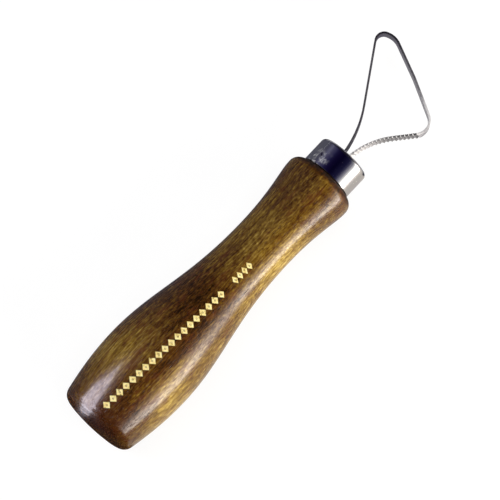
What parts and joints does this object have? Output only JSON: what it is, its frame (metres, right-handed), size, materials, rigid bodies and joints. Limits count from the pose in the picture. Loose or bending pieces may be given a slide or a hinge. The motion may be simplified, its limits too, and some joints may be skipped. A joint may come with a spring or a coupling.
{
  "type": "loop tool",
  "caption": "Clay loop tool: turned dark wood handle with a bulbous butt, plated ferrule and an asymmetric loop of flat steel ribbon with a toothed short leg.",
  "frame": {"origin": "centre of the flat on the handle's butt", "axes": "+X along the handle from the butt to the loop, +Z square to the loop's plane, +Y towards the loop's long leg"},
  "size_m": [0.1785, 0.0399, 0.0362],
  "materials": {
    "stained_wood": "dark walnut stain under gloss lacquer",
    "nickel_plate": "polished nickel plate",
    "spring_steel": "hardened and tempered, ground edges",
    "resin": "cured epoxy"
  },
  "bodies": {
    "root": {"handle": "stained_wood", "ferrule": "nickel_plate", "loop_blade": "spring_steel", "tang_bedding": "resin"}
  },
  "joints": []
}
